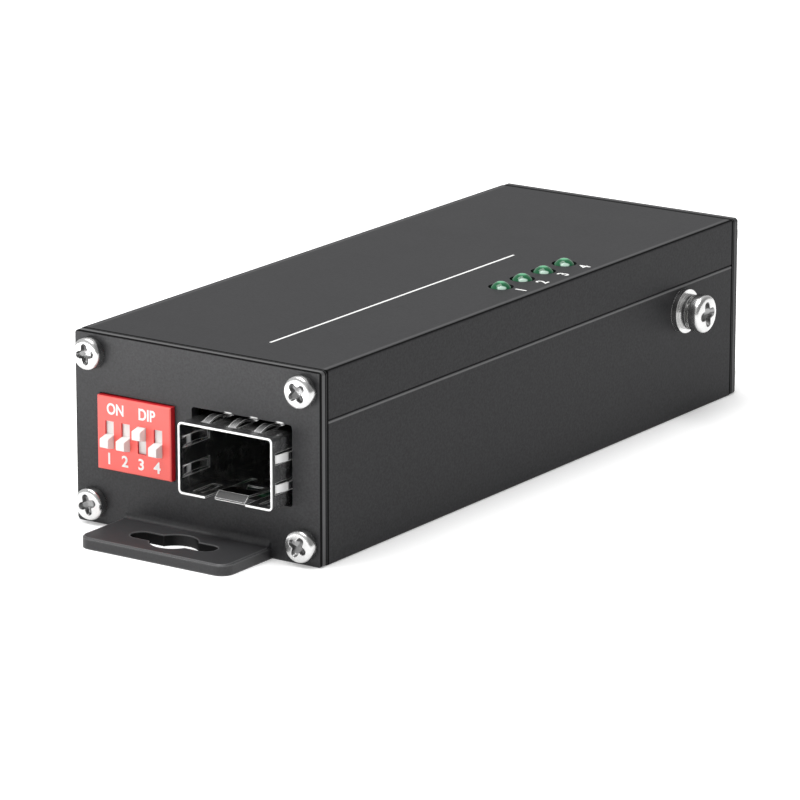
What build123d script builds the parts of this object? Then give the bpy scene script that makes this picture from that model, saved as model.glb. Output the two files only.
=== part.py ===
from build123d import *
import os
from math import cos, radians, sin, sqrt

# Fibre media converter in millimetres. The origin is the centre of the case's underside, +Z is up,
# the fibre side faces -Y and +X is to the right for someone who looks at that side.

# Small round pieces that repeat are drawn with these numbers of sides, to keep their meshes light
round_sides = 24
small_sides = 12
hole_sides = 6

# Case shells
case_width = 38.0
case_height = 25.0
case_length = 96.5
wall = 1.5
case_edge_radius = 0.3
cover_height = 6.4
seam_gap = 0.12
seam_bevel = 0.2
lap_depth = 1.4
lap_lip = 0.75
lap_clearance = 0.05

# Screw channels in the corners of the case
channel_inset = 2.65
channel_radius = 2.35
channel_bore = 1.3
channel_slit = 0.9

# End plates, each with its ear
plate_gauge = 1.5
plate_corner_radius = 0.5
plate_bevel = 0.15
plate_hole_radius = 1.5
ear_width = 22.9
ear_reach = 9.8
ear_corner_radius = 1.7
ear_edge_bevel = 0.2
bend_radius = 0.9
ear_slot_length = 13.0
ear_slot_width = 3.0
ear_eye_radius = 3.1

# Pan-head screws
end_shank_radius = 1.25
end_shank_length = 7.5
end_head_radius = 2.15
end_head_height = 1.45
end_recess_arm = 1.2
ground_shank_radius = 1.5
ground_shank_length = 6.4
ground_head_radius = 2.7
ground_head_height = 1.7
ground_recess_arm = 1.5
head_taper = 16
recess_arm_width = 0.5
recess_depth = 0.9
front_screw_turns = (18, 62, 8, 40)
rear_screw_turns = (70, 25, 50, 5)

# Ground screw on the right wall
ground_setback = 12.85
ground_drop = 3.7
flat_washer_radius = 3.0
flat_washer_gauge = 0.8
lock_washer_radius = 2.4
lock_washer_gauge = 0.9
lock_washer_split = 0.5
lock_washer_turn = 160
washer_clearance = 0.1
ground_head_gap = 0.6
ground_screw_turn = 8

# Circuit board
board_lift = 4.3
board_gauge = 1.6
board_side_clearance = 0.2
board_end_clearance = 0.3
rail_depth = 1.2
rail_height = 1.1
rail_clearance = 0.1

# SFP cage, connector and cut-out
cage_margin = 3.3
cage_width = 14.4
cage_height = 9.3
cage_length = 48.5
cage_gauge = 0.25
cage_corner_radius = 0.6
cage_reach = 3.6
cutout_width = 15.4
cutout_height = 10.5
cutout_lift = 0.4
cutout_corner_radius = 0.4
finger_width = 1.05
finger_gap = 0.22
finger_tip_gap = 0.4
top_finger_start = 1.5
top_finger_length = 4.4
top_finger_rise = 0.6
top_finger_pitch = 3.95
side_finger_start = 0.7
side_finger_length = 5.2
side_finger_rise = 0.42
side_finger_low = 2.7
side_finger_pitch = 3.8
bottom_finger_start = 1.2
bottom_finger_length = 3.8
bottom_finger_rise = 0.15
bottom_finger_x = 5.1
notch_width = 6.2
notch_depth = 1.0
tongue_width = 4.6
tongue_length = 9.0
tongue_rise = 0.55
tongue_lip = 0.9
tongue_drop = 0.75
latch_hole_width = 2.6
latch_hole_length = 2.2
latch_hole_start = 2.6
tail_width = 0.7
tail_places = (13.0, 27.0, 41.0)
connector_setback = 34.6
connector_width = 11.6
connector_depth = 9.4
connector_height = 6.4
connector_slot_width = 9.4
connector_slot_height = 1.1
connector_slot_depth = 6.5
connector_slot_lift = 3.1
connector_bevel = 0.8
cage_back_clearance = 0.3
contact_pitch = 0.8
contact_width = 0.35
contact_gauge = 0.2
contact_length = 5.6
contact_ways = 10

# Four-way slide switch
switch_margin = 2.5
switch_lift = 5.03
switch_width = 11.55
switch_height = 9.6
switch_reach = 0.8
switch_depth = 5.6
switch_bevel = 0.15
switch_skin = 0.3
switch_pitch = 2.54
switch_ways = 4
switch_rim = 1.0
base_flange = 1.4
window_clearance = 0.15
slot_width = 1.35
slot_length = 3.6
slot_lift = -0.15
slider_clearance = 0.05
slider_width = 1.9
slider_depth = 1.7
slider_overlap = 0.2
nub_width = 1.25
nub_root = 1.75
nub_tip = 1.15
nub_reach = 1.25
nub_round = 0.18
switch_pin_width = 0.5
switch_pin_gauge = 0.3
switch_pin_rows = 7.62
switch_pin_low_reach = 1.4
switch_pin_high_reach = 3.4
pin_tail = 1.0
pin_hole_clearance = 0.15
on_ways = (3,)

# LEDs in the top
led_inset = 5.65
led_setback = 3.85
led_pitch = 5.08
led_count = 4
led_radius = 1.5
led_flange_radius = 1.9
led_flange_height = 1.0
led_height = 5.3
led_proud = 0.72
led_dome_steps = ((0, 40), (40, 80))
led_hole_radius = 1.68
led_pocket_clearance = 0.5
led_lead = 0.45
led_lead_pitch = 2.54
spacer_bore = 0.7
spacer_corner = 0.9

# Copper network port
port_margin = 3.75
port_width = 16.1
port_height = 13.4
port_depth = 16.0
port_proud = 0.6
port_gauge = 0.3
port_clearance = 0.2
plug_width = 11.9
plug_height = 6.9
plug_depth = 12.6
plug_lift = 3.9
latch_width = 6.2
latch_height = 1.7
latch_key_width = 4.0
latch_key_height = 1.1
port_lip = 1.0
port_pitch = 1.02
port_ways = 8
port_contact_width = 0.45
port_contact_gauge = 0.3
port_contact_start = 2.6
port_contact_end = 10.6
port_contact_drop = 1.8
shield_tab_start = 0.9
shield_tab_width = 2.4
shield_tab_length = 5.0
shield_tab_rise = 0.15
shield_tab_gap = 0.4

# DC supply header
power_margin = 2.0
power_width = 12.0
power_height = 8.6
power_depth = 9.2
power_proud = 0.6
power_wall = 1.1
power_floor = 1.2
power_key_width = 1.2
power_pitch = 3.81
power_ways = 3
power_pin = 0.9
power_pin_lift = 4.0
power_pin_reach = 6.4
power_pin_back = 1.6

# Parts on the board
chip_margin = 4.0
chip_gap = 10.3
chip_size = 11.0
chip_height = 1.0
chip_bevel = 0.12
chip_standoff = 0.1
lead_width = 0.4
lead_gauge = 0.15
lead_level = 0.7
lead_pitch = 1.27
transformer_gap = 4.15
transformer_width = 15.2
transformer_depth = 7.4
transformer_height = 5.6
transformer_lead_count = 12
transformer_lead_reach = 1.3
crystal_gap = 5.7
crystal_length = 5.0
crystal_width = 3.2
crystal_height = 1.2
crystal_rim = 0.3
crystal_rim_height = 0.8
supply_offset = 2.5
inductor_gap = 1.0
inductor_size = 8.0
inductor_height = 4.4
inductor_corner = 1.6
regulator_x = 0.0
regulator_length = 4.9
regulator_width = 3.9
regulator_height = 1.5
regulator_lead_count = 4
regulator_lead_reach = 1.1
capacitor_gap = 2.55
capacitor_spread = 2.2
capacitor_radius = 3.15
capacitor_height = 7.7
capacitor_seat = 6.6
capacitor_seat_height = 0.9
capacitor_bead = 0.6

os.makedirs("parts", exist_ok=True)

# Sizes that follow from the ones above
shell_end = case_length / 2
front_face = -(shell_end + plate_gauge)
rear_face = shell_end + plate_gauge
inner_width = case_width - 2 * wall
seam_height = case_height - cover_height
ground_y = shell_end - ground_setback
ground_z = seam_height - ground_drop
channel_x = case_width / 2 - channel_inset
channel_low = channel_inset
channel_high = case_height - channel_inset
board_width = inner_width - 2 * board_side_clearance
board_length = case_length - 2 * board_end_clearance
board_bottom = wall + board_lift
board_top = board_bottom + board_gauge
upper_edge = seam_height + seam_gap
cage_front = front_face - cage_reach
cage_back = cage_front + cage_length
led_x = case_width / 2 - led_inset
led_first_y = cage_back + led_setback
led_last_y = led_first_y + (led_count - 1) * led_pitch
led_middle_y = (led_first_y + led_last_y) / 2
led_rows = [led_first_y + index * led_pitch for index in range(led_count)]
led_top = case_height + led_proud
led_bottom = led_top - led_height
sfp_x = inner_width / 2 - cage_margin - cage_width / 2
cage_middle = board_top + cage_height / 2
cage_top = board_top + cage_height
cutout_z = cage_middle + cutout_lift
top_fingers = [sfp_x + place * top_finger_pitch for place in (-1, 0, 1)]
side_fingers = [board_top + side_finger_low, board_top + side_finger_low + side_finger_pitch]
bottom_fingers = [sfp_x - bottom_finger_x, sfp_x + bottom_finger_x]
connector_front = cage_front + connector_setback
slot_middle = board_top + connector_slot_lift
contact_columns = [
    sfp_x + (index - (contact_ways - 1) / 2) * contact_pitch for index in range(contact_ways)
]
switch_front = front_face - switch_reach
switch_x = -inner_width / 2 + switch_margin + switch_width / 2
switch_z = board_top + switch_lift
switch_columns = [switch_x + (index - (switch_ways - 1) / 2) * switch_pitch for index in range(switch_ways)]
slider_travel = slot_length - nub_root - 2 * slider_clearance
slider_length = slot_length + slider_travel + 2 * slider_overlap
cell_length = slider_length + slider_travel + 2 * slider_clearance
cell_width = slider_width + 2 * slider_clearance
cell_depth = slider_depth + 2 * slider_clearance
slot_z = switch_z + slot_lift
housing_depth = switch_depth - base_flange
base_front = switch_front + switch_skin + cell_depth
switch_back = switch_front + switch_depth
switch_pin_low_z = switch_z - switch_pin_rows / 2
switch_pin_high_z = switch_z + switch_pin_rows / 2
port_x = -inner_width / 2 + port_margin + port_width / 2
port_front = rear_face + port_proud
port_z = board_top + port_height / 2
insert_width = port_width - 2 * port_gauge
insert_height = port_height - port_gauge
insert_front = port_front - port_gauge
insert_back = port_front - port_depth + port_gauge
plug_top = board_top + plug_lift + plug_height
power_x = inner_width / 2 - power_margin - power_width / 2
power_front = rear_face + power_proud
power_back = power_front - power_depth
power_pin_z = board_top + power_pin_lift
power_columns = [power_x + (index - (power_ways - 1) / 2) * power_pitch for index in range(power_ways)]
transformer_y = port_front - port_depth - transformer_gap - transformer_depth / 2
chip_x = -inner_width / 2 + chip_margin + chip_size / 2
chip_y = transformer_y - transformer_depth / 2 - chip_gap - chip_size / 2
crystal_y = chip_y - chip_size / 2 - crystal_gap - crystal_width / 2
supply_x = power_x - supply_offset
rear_capacitor_y = power_back - capacitor_gap - capacitor_seat / 2
inductor_y = rear_capacitor_y - capacitor_seat / 2 - inductor_gap - inductor_size / 2
front_capacitor_y = inductor_y - inductor_size / 2 - capacitor_spread - capacitor_seat / 2
regulator_y = front_capacitor_y
capacitor_places = [(supply_x, front_capacitor_y), (supply_x, rear_capacitor_y)]
tail_level = board_bottom - pin_tail
corners = [(side * channel_x, level) for level in (channel_low, channel_high) for side in (-1, 1)]

# Places of the pins and tails that go through the board
switch_low_places = [(column, switch_back + switch_pin_low_reach) for column in switch_columns]
switch_high_places = [(column, switch_back + switch_pin_high_reach) for column in switch_columns]
led_lead_places = [(led_x + side * led_lead_pitch / 2, row) for row in led_rows for side in (-1, 1)]
power_pin_places = [(column, power_back - power_pin_back) for column in power_columns]
cage_tail_places = [
    (sfp_x + side * (cage_width - cage_gauge) / 2, cage_front + place)
    for place in tail_places
    for side in (-1, 1)
]


def keep(builder, name):
    """Label a finished piece and write it as a STEP file of the same name."""
    builder.part.label = name
    export_step(builder.part, f"parts/{name}.step")


# Lower shell: a deep channel with a groove for the board and a screw channel in each bottom corner
with BuildPart() as lower_shell:
    with BuildSketch(Plane.XZ) as lower_section:
        Rectangle(case_width, seam_height, align=(Align.CENTER, Align.MIN))
        fillet(lower_section.vertices().group_by(Axis.Y)[0], case_edge_radius)
        chamfer(lower_section.vertices().group_by(Axis.Y)[-1], seam_bevel)
        with Locations((0, wall)):
            Rectangle(inner_width, seam_height, align=(Align.CENTER, Align.MIN), mode=Mode.SUBTRACT)
        with Locations((0, seam_height - lap_depth)):
            Rectangle(
                case_width - 2 * lap_lip, lap_depth, align=(Align.CENTER, Align.MIN), mode=Mode.SUBTRACT
            )
        for side, side_align in ((-1, Align.MIN), (1, Align.MAX)):
            with Locations((side * inner_width / 2, board_bottom)):
                Rectangle(rail_depth, rail_height, align=(side_align, Align.MAX))
            with Locations((side * inner_width / 2, board_top + rail_clearance)):
                Rectangle(rail_depth, rail_height, align=(side_align, Align.MIN))
        with Locations((-channel_x, channel_low), (channel_x, channel_low)):
            Circle(channel_radius)
        for side, turn in ((-1, 45), (1, 135)):
            with Locations((side * channel_x, channel_low)):
                Circle(channel_bore, mode=Mode.SUBTRACT)
                Rectangle(
                    2 * channel_radius,
                    channel_slit,
                    rotation=turn,
                    align=(Align.MIN, Align.CENTER),
                    mode=Mode.SUBTRACT,
                )
    extrude(amount=shell_end, both=True)
    with BuildSketch(Plane.YZ.offset(case_width / 2)):
        with Locations((ground_y, ground_z)):
            Circle(ground_shank_radius + lap_clearance)
    extrude(amount=-2 * wall, mode=Mode.SUBTRACT)
keep(lower_shell, "lower_shell")

# Upper shell: a shallow channel whose tongues drop inside the lower shell's lips
with BuildPart() as upper_shell:
    with BuildSketch(Plane.XZ) as upper_section:
        with Locations((0, upper_edge)):
            Rectangle(case_width, case_height - upper_edge, align=(Align.CENTER, Align.MIN))
        fillet(upper_section.vertices().group_by(Axis.Y)[-1], case_edge_radius)
        with Locations((0, case_height - wall)):
            Rectangle(inner_width, case_height, align=(Align.CENTER, Align.MAX), mode=Mode.SUBTRACT)
        for side, side_align in ((-1, Align.MAX), (1, Align.MIN)):
            with Locations((side * inner_width / 2, upper_edge + wall)):
                Rectangle(
                    wall - lap_lip - lap_clearance,
                    seam_gap + wall + lap_depth - lap_clearance,
                    align=(side_align, Align.MAX),
                )
        with Locations((-channel_x, channel_high), (channel_x, channel_high)):
            Circle(channel_radius)
        for side, turn in ((-1, -45), (1, -135)):
            with Locations((side * channel_x, channel_high)):
                Circle(channel_bore, mode=Mode.SUBTRACT)
                Rectangle(
                    2 * channel_radius,
                    channel_slit,
                    rotation=turn,
                    align=(Align.MIN, Align.CENTER),
                    mode=Mode.SUBTRACT,
                )
    extrude(amount=shell_end, both=True)
    # The screw channel is milled away beside the LEDs
    with BuildSketch(Plane.XY.offset(case_height - wall)):
        with Locations((led_x, led_middle_y)):
            Rectangle(
                2 * (led_flange_radius + led_pocket_clearance),
                led_last_y - led_first_y + 2 * (led_flange_radius + led_pocket_clearance),
            )
    extrude(amount=-(channel_inset + channel_radius - wall + led_pocket_clearance), mode=Mode.SUBTRACT)
    with BuildSketch(Plane.XY.offset(case_height)):
        with Locations(*[(led_x, row) for row in led_rows]):
            Circle(led_hole_radius)
    extrude(amount=-2 * wall, mode=Mode.SUBTRACT)
keep(upper_shell, "upper_shell")

# Ear: the flange that a plate's lower edge is folded into
with BuildPart() as ear_blank:
    with BuildSketch(Plane.XY) as ear_outline:
        with Locations((0, front_face - ear_reach)):
            Rectangle(ear_width, ear_reach + plate_gauge / 2, align=(Align.CENTER, Align.MIN))
        fillet(ear_outline.vertices().group_by(Axis.Y)[0], ear_corner_radius)
    extrude(amount=plate_gauge)
    chamfer(ear_blank.faces().sort_by(Axis.Z)[-1].edges(), ear_edge_bevel)

# Plate blank: the folded sheet with its screw holes and the ear's slot, before its own openings are cut
with BuildPart() as plate_blank:
    with BuildSketch(Plane.XZ.offset(shell_end)):
        with Locations((0, case_height / 2)):
            RectangleRounded(case_width, case_height, plate_corner_radius)
    extrude(amount=plate_gauge)
    chamfer(plate_blank.faces().sort_by(Axis.Y)[0].edges(), plate_bevel)
    add(ear_blank.part)
    with BuildSketch(Plane.YZ.offset(-ear_width / 2 + ear_edge_bevel)):
        with BuildLine():
            root = Line((front_face, plate_gauge), (front_face - bend_radius, plate_gauge))
            bend = RadiusArc(root @ 1, (front_face, plate_gauge + bend_radius), -bend_radius)
            Line(bend @ 1, root @ 0)
        make_face()
    extrude(amount=ear_width - 2 * ear_edge_bevel)
    with BuildSketch(Plane.XY):
        with Locations((0, front_face - ear_reach / 2)):
            SlotOverall(ear_slot_length, ear_slot_width)
            Circle(ear_eye_radius)
    extrude(amount=plate_gauge, mode=Mode.SUBTRACT)
    with BuildSketch(Plane.XZ.offset(shell_end)):
        with Locations(*corners):
            RegularPolygon(plate_hole_radius, small_sides)
    extrude(amount=plate_gauge, mode=Mode.SUBTRACT)

# Front plate: the blank with the switch window and the SFP cut-out
with BuildPart() as front_plate:
    add(plate_blank.part)
    with BuildSketch(Plane.XZ.offset(shell_end)):
        with Locations((switch_x, switch_z)):
            Rectangle(switch_width + 2 * window_clearance, switch_height + 2 * window_clearance)
        with Locations((sfp_x, cutout_z)):
            RectangleRounded(cutout_width, cutout_height, cutout_corner_radius)
    extrude(amount=plate_gauge, mode=Mode.SUBTRACT)
keep(front_plate, "front_plate")

# Rear plate: the mirrored blank with the network port and the supply header cut out
with BuildPart() as rear_plate:
    add(plate_blank.part.mirror(Plane.XZ))
    with BuildSketch(Plane.XZ.offset(-shell_end)):
        with Locations((port_x, port_z)):
            Rectangle(port_width + 2 * port_clearance, port_height + 2 * port_clearance)
        with Locations((power_x, board_top + power_height / 2)):
            Rectangle(power_width + 2 * port_clearance, power_height + 2 * port_clearance)
    extrude(amount=-plate_gauge, mode=Mode.SUBTRACT)
keep(rear_plate, "rear_plate")


def pan_head_screw(shank_radius, shank_length, head_radius, head_height, recess_arm):
    """A cross-recessed pan-head screw, its head's seat on the XY plane and its shank along -Z."""
    with BuildPart() as screw:
        with BuildSketch(Plane.XY):
            RegularPolygon(shank_radius, small_sides)
        extrude(amount=-shank_length)
        with BuildSketch(Plane.XY):
            RegularPolygon(head_radius, round_sides)
        extrude(amount=head_height, taper=head_taper)
        with BuildSketch(Plane.XY.offset(head_height)):
            Rectangle(2 * recess_arm, recess_arm_width)
            Rectangle(recess_arm_width, 2 * recess_arm)
        extrude(amount=-recess_depth, mode=Mode.SUBTRACT)
    return screw.part


end_screw = pan_head_screw(
    end_shank_radius, end_shank_length, end_head_radius, end_head_height, end_recess_arm
)

with BuildPart() as front_screws:
    for (place_x, place_z), turn in zip(corners, front_screw_turns):
        across = (cos(radians(turn)), 0, sin(radians(turn)))
        with Locations(Plane((place_x, front_face, place_z), x_dir=across, z_dir=(0, -1, 0))):
            add(end_screw)
keep(front_screws, "front_screws")

with BuildPart() as rear_screws:
    for (place_x, place_z), turn in zip(corners, rear_screw_turns):
        across = (cos(radians(turn)), 0, sin(radians(turn)))
        with Locations(Plane((place_x, rear_face, place_z), x_dir=across, z_dir=(0, 1, 0))):
            add(end_screw)
keep(rear_screws, "rear_screws")

# Ground screw with its flat and split washers, on the right wall
washer_face = case_width / 2 + flat_washer_gauge
lock_face = washer_face + lock_washer_gauge

with BuildPart() as ground_flat_washer:
    with BuildSketch(Plane.YZ.offset(case_width / 2)):
        with Locations((ground_y, ground_z)):
            Circle(flat_washer_radius)
            Circle(ground_shank_radius + washer_clearance, mode=Mode.SUBTRACT)
    extrude(amount=flat_washer_gauge)
keep(ground_flat_washer, "ground_flat_washer")

with BuildPart() as ground_lock_washer:
    with BuildSketch(Plane.YZ.offset(washer_face)):
        with Locations((ground_y, ground_z)):
            Circle(lock_washer_radius)
            Circle(ground_shank_radius + washer_clearance, mode=Mode.SUBTRACT)
            Rectangle(
                lock_washer_split,
                2 * lock_washer_radius,
                rotation=lock_washer_turn,
                align=(Align.CENTER, Align.MIN),
                mode=Mode.SUBTRACT,
            )
    extrude(amount=lock_washer_gauge)
keep(ground_lock_washer, "ground_lock_washer")

ground_form = pan_head_screw(
    ground_shank_radius, ground_shank_length, ground_head_radius, ground_head_height, ground_recess_arm
)
with BuildPart() as ground_screw:
    across = (0, cos(radians(ground_screw_turn)), sin(radians(ground_screw_turn)))
    ground_seat = (lock_face + ground_head_gap, ground_y, ground_z)
    with Locations(Plane(ground_seat, x_dir=across, z_dir=(1, 0, 0))):
        add(ground_form)
keep(ground_screw, "ground_screw")

# Circuit board, drilled for its pins
with BuildPart() as main_board:
    with BuildSketch(Plane.XY.offset(board_bottom)):
        Rectangle(board_width, board_length)
        for places, pin in (
            (switch_low_places + switch_high_places, switch_pin_width),
            (led_lead_places, led_lead),
            (power_pin_places, power_pin),
            (cage_tail_places, tail_width),
        ):
            with Locations(*places):
                RegularPolygon(pin / sqrt(2) + pin_hole_clearance, hole_sides, mode=Mode.SUBTRACT)
    extrude(amount=board_gauge)
keep(main_board, "main_board")


def spring_finger(width, length, rise, gauge):
    """A bowed strip of sheet: it leaves the XY plane at the origin and comes back to it along +Y."""
    with BuildPart() as strip:
        with BuildSketch(Plane.YZ):
            with BuildLine():
                outer = ThreePointArc((0, 0), (length / 2, rise), (length, 0))
                tip = Line(outer @ 1, (length, -gauge))
                inner = ThreePointArc(tip @ 1, (length / 2, rise - gauge), (0, -gauge))
                Line(inner @ 1, outer @ 0)
            make_face()
        extrude(amount=width / 2, both=True)
    return strip.part


top_finger = spring_finger(finger_width, top_finger_length, top_finger_rise, cage_gauge)
side_finger = spring_finger(finger_width, side_finger_length, side_finger_rise, cage_gauge)
bottom_finger = spring_finger(finger_width, bottom_finger_length, bottom_finger_rise, cage_gauge)
finger_window = finger_width + 2 * finger_gap

# SFP cage: one folded sheet with nine spring fingers, a latch tongue and press-in tails
with BuildPart() as sfp_cage:
    with BuildSketch(Plane.XZ.offset(-cage_front)):
        with Locations((sfp_x, cage_middle)):
            RectangleRounded(cage_width, cage_height, cage_corner_radius)
    extrude(amount=-cage_length)
    with BuildSketch(Plane.XZ.offset(-cage_front)):
        with Locations((sfp_x, cage_middle)):
            RectangleRounded(
                cage_width - 2 * cage_gauge,
                cage_height - 2 * cage_gauge,
                cage_corner_radius - cage_gauge,
            )
    extrude(amount=-(cage_length - cage_gauge), mode=Mode.SUBTRACT)
    # Windows that the fingers are cut from
    with BuildSketch(Plane.XY.offset(cage_top)):
        with Locations(*[(column, cage_front + top_finger_start) for column in top_fingers]):
            Rectangle(finger_window, top_finger_length + finger_tip_gap, align=(Align.CENTER, Align.MIN))
    extrude(amount=-2 * cage_gauge, mode=Mode.SUBTRACT)
    for side in (-1, 1):
        with BuildSketch(Plane.YZ.offset(sfp_x + side * cage_width / 2)):
            with Locations(*[(cage_front + side_finger_start, level) for level in side_fingers]):
                Rectangle(side_finger_length + finger_tip_gap, finger_window, align=(Align.MIN, Align.CENTER))
        extrude(amount=-side * 2 * cage_gauge, mode=Mode.SUBTRACT)
    with BuildSketch(Plane.XY.offset(board_top)):
        with Locations(*[(column, cage_front + bottom_finger_start) for column in bottom_fingers]):
            Rectangle(finger_window, bottom_finger_length + finger_tip_gap, align=(Align.CENTER, Align.MIN))
        # The notch and the strip that the latch tongue is bent from
        with Locations((sfp_x, cage_front)):
            Rectangle(notch_width, notch_depth + tongue_length, align=(Align.CENTER, Align.MIN))
        # The opening over the connector
        with Locations((sfp_x, connector_front - cage_back_clearance)):
            Rectangle(
                connector_width + 2 * cage_back_clearance,
                connector_depth + 2 * cage_back_clearance,
                align=(Align.CENTER, Align.MIN),
            )
    extrude(amount=2 * cage_gauge, mode=Mode.SUBTRACT)
    # The fingers, bowed out to meet the edge of the plate's cut-out
    for column in top_fingers:
        root = (column, cage_front + top_finger_start, cage_top)
        with Locations(Plane(root, x_dir=(1, 0, 0), z_dir=(0, 0, 1))):
            add(top_finger)
    for column in bottom_fingers:
        root = (column, cage_front + bottom_finger_start, board_top)
        with Locations(Plane(root, x_dir=(-1, 0, 0), z_dir=(0, 0, -1))):
            add(bottom_finger)
    for side in (-1, 1):
        for level in side_fingers:
            root = (sfp_x + side * cage_width / 2, cage_front + side_finger_start, level)
            with Locations(Plane(root, x_dir=(0, 0, -side), z_dir=(side, 0, 0))):
                add(side_finger)
    # The latch tongue slopes up into the bay and its lip turns down again in front
    tongue_root = cage_front + notch_depth + tongue_length
    tongue_bend = cage_front + notch_depth + tongue_lip
    with BuildSketch(Plane.YZ.offset(sfp_x)):
        with BuildLine():
            Polyline(
                (tongue_root, board_top),
                (tongue_bend, board_top + tongue_rise),
                (tongue_bend - tongue_lip, board_top + tongue_rise - tongue_drop),
                (tongue_bend - tongue_lip, board_top + tongue_rise - tongue_drop + cage_gauge),
                (tongue_bend, board_top + tongue_rise + cage_gauge),
                (tongue_root, board_top + cage_gauge),
                close=True,
            )
        make_face()
    extrude(amount=tongue_width / 2, both=True)
    with BuildSketch(Plane.XY.offset(board_top)):
        with BuildLine():
            latch_y = tongue_bend + latch_hole_start
            Polyline(
                (sfp_x - latch_hole_width / 2, latch_y + latch_hole_length),
                (sfp_x + latch_hole_width / 2, latch_y + latch_hole_length),
                (sfp_x, latch_y),
                close=True,
            )
        make_face()
    extrude(amount=tongue_rise + 2 * cage_gauge, mode=Mode.SUBTRACT)
    # Press-in tails that go down through the board from the side walls
    for side, side_align in ((-1, Align.MIN), (1, Align.MAX)):
        with BuildSketch(Plane.XY.offset(tail_level)):
            with Locations(*[(sfp_x + side * cage_width / 2, cage_front + place) for place in tail_places]):
                Rectangle(cage_gauge, tail_width, align=(side_align, Align.CENTER))
        extrude(amount=board_top + cage_corner_radius + cage_gauge - tail_level)
keep(sfp_cage, "sfp_cage")

# SFP connector: the moulded block at the back of the cage with the slot for the module's edge
with BuildPart() as sfp_connector:
    with BuildSketch(Plane.XZ.offset(-connector_front)):
        with Locations((sfp_x, board_top)):
            Rectangle(connector_width, connector_height, align=(Align.CENTER, Align.MIN))
    extrude(amount=-connector_depth)
    chamfer(sfp_connector.faces().sort_by(Axis.Y)[0].edges().sort_by(Axis.Z)[-1], connector_bevel)
    with BuildSketch(Plane.XZ.offset(-connector_front)):
        with Locations((sfp_x, board_top + connector_slot_lift)):
            Rectangle(connector_slot_width, connector_slot_height)
    extrude(amount=-connector_slot_depth, mode=Mode.SUBTRACT)
keep(sfp_connector, "sfp_connector")

with BuildPart() as sfp_contacts:
    for face in (-1, 1):
        with BuildSketch(Plane.XY.offset(slot_middle + face * connector_slot_height / 2)):
            with Locations(*[(column, connector_front + connector_slot_depth) for column in contact_columns]):
                Rectangle(contact_width, contact_length, align=(Align.CENTER, Align.MAX))
        extrude(amount=-face * contact_gauge)
keep(sfp_contacts, "sfp_contacts")

# Slide switch bank: red housing with a window and a cell for each slider
with BuildPart() as dip_housing:
    with BuildSketch(Plane.XZ.offset(-switch_front)):
        with Locations((switch_x, switch_z)):
            Rectangle(switch_width, switch_height)
    extrude(amount=-housing_depth)
    chamfer(dip_housing.faces().sort_by(Axis.Y)[0].edges(), switch_bevel)
    with BuildSketch(Plane.XZ.offset(-switch_front)):
        with Locations(*[(column, slot_z) for column in switch_columns]):
            Rectangle(slot_width, slot_length)
    extrude(amount=-2 * switch_skin, mode=Mode.SUBTRACT)
    with BuildSketch(Plane.XZ.offset(-(switch_front + switch_skin))):
        with Locations(*[(column, slot_z) for column in switch_columns]):
            Rectangle(cell_width, cell_length)
    extrude(amount=-cell_depth, mode=Mode.SUBTRACT)
    with BuildSketch(Plane.XZ.offset(-base_front)):
        with Locations((switch_x, switch_z)):
            Rectangle(switch_width - 2 * switch_rim, switch_height - 2 * switch_rim)
    extrude(amount=-(switch_back - base_front), mode=Mode.SUBTRACT)
keep(dip_housing, "dip_housing")

with BuildPart() as dip_base:
    with BuildSketch(Plane.XZ.offset(-base_front)):
        with Locations((switch_x, switch_z)):
            Rectangle(
                switch_width - 2 * switch_rim - 2 * slider_clearance,
                switch_height - 2 * switch_rim - 2 * slider_clearance,
            )
    extrude(amount=-(switch_back - base_front))
    with BuildSketch(Plane.XZ.offset(-(switch_front + housing_depth))):
        with Locations((switch_x, switch_z)):
            Rectangle(switch_width, switch_height)
    extrude(amount=-base_flange)
keep(dip_base, "dip_base")

# Sliders: a block that runs in its cell, with a tapered nub through the window
slider_face = switch_front + switch_skin + slider_clearance
for way, column in enumerate(switch_columns, start=1):
    level = slot_z + (slider_travel / 2 if way in on_ways else -slider_travel / 2)
    with BuildPart() as slider:
        with BuildSketch(Plane.XZ.offset(-slider_face)):
            with Locations((column, level)):
                Rectangle(slider_width, slider_length)
        extrude(amount=-slider_depth)
        with BuildSketch(Plane.YZ.offset(column - nub_width / 2)) as nub:
            with BuildLine():
                Polyline(
                    (slider_face, level - nub_root / 2),
                    (switch_front, level - nub_root / 2),
                    (switch_front - nub_reach, level - nub_tip / 2),
                    (switch_front - nub_reach, level + nub_tip / 2),
                    (switch_front, level + nub_root / 2),
                    (slider_face, level + nub_root / 2),
                    close=True,
                )
            make_face()
            fillet(nub.vertices().group_by(Axis.X)[0], nub_round)
        extrude(amount=nub_width)
    keep(slider, f"dip_slider_{way}")

# Bent pins of the switch bank: a low row and a high row, both turned down into the board
with BuildPart() as dip_pins:
    for places, level in ((switch_low_places, switch_pin_low_z), (switch_high_places, switch_pin_high_z)):
        for place_x, place_y in places:
            with BuildSketch(Plane.YZ.offset(place_x - switch_pin_width / 2)):
                with BuildLine():
                    Polyline(
                        (switch_back, level - switch_pin_gauge / 2),
                        (place_y - switch_pin_gauge / 2, level - switch_pin_gauge / 2),
                        (place_y - switch_pin_gauge / 2, tail_level),
                        (place_y + switch_pin_gauge / 2, tail_level),
                        (place_y + switch_pin_gauge / 2, level + switch_pin_gauge / 2),
                        (switch_back, level + switch_pin_gauge / 2),
                        close=True,
                    )
                make_face()
            extrude(amount=switch_pin_width)
keep(dip_pins, "dip_pins")

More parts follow.
